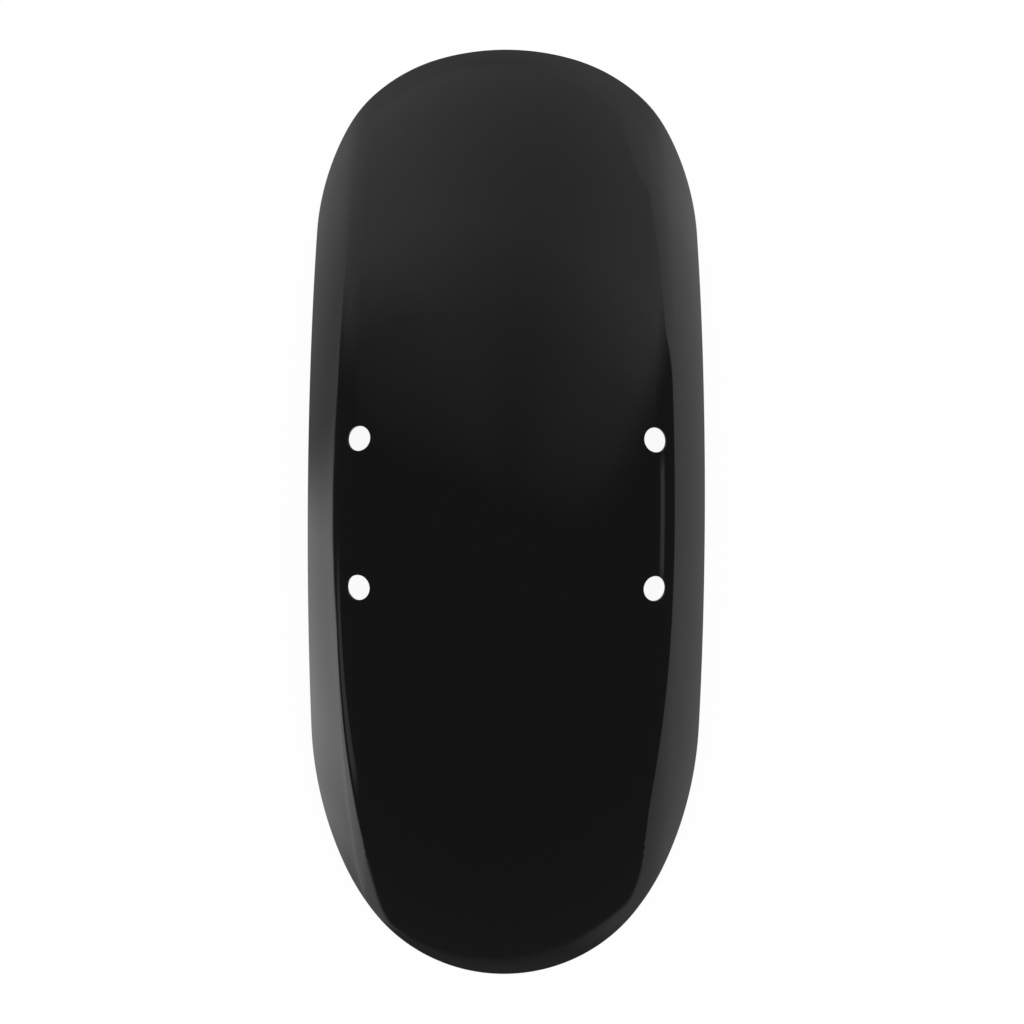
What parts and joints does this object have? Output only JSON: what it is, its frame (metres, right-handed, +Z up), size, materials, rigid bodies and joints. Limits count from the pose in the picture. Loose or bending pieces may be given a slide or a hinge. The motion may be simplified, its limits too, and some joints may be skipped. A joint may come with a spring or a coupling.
{
  "type": "motorbike front fender",
  "caption": "Short gloss black pressed steel front fender for a motorbike, with a blunt nose, a longer rounded tail and bolt holes on both shoulders.",
  "frame": {"origin": "middle of the plan, on the surface that the fender lies on", "axes": "+X forward to the nose, +Y to the rider's left across the wheel, +Z up; the wheel's axle is parallel to Y, below the origin"},
  "size_m": [0.4098, 0.165, 0.0697],
  "materials": {
    "gloss_black_paint": "gloss"
  },
  "bodies": {
    "root": {"front_fender": "gloss_black_paint"}
  },
  "joints": []
}
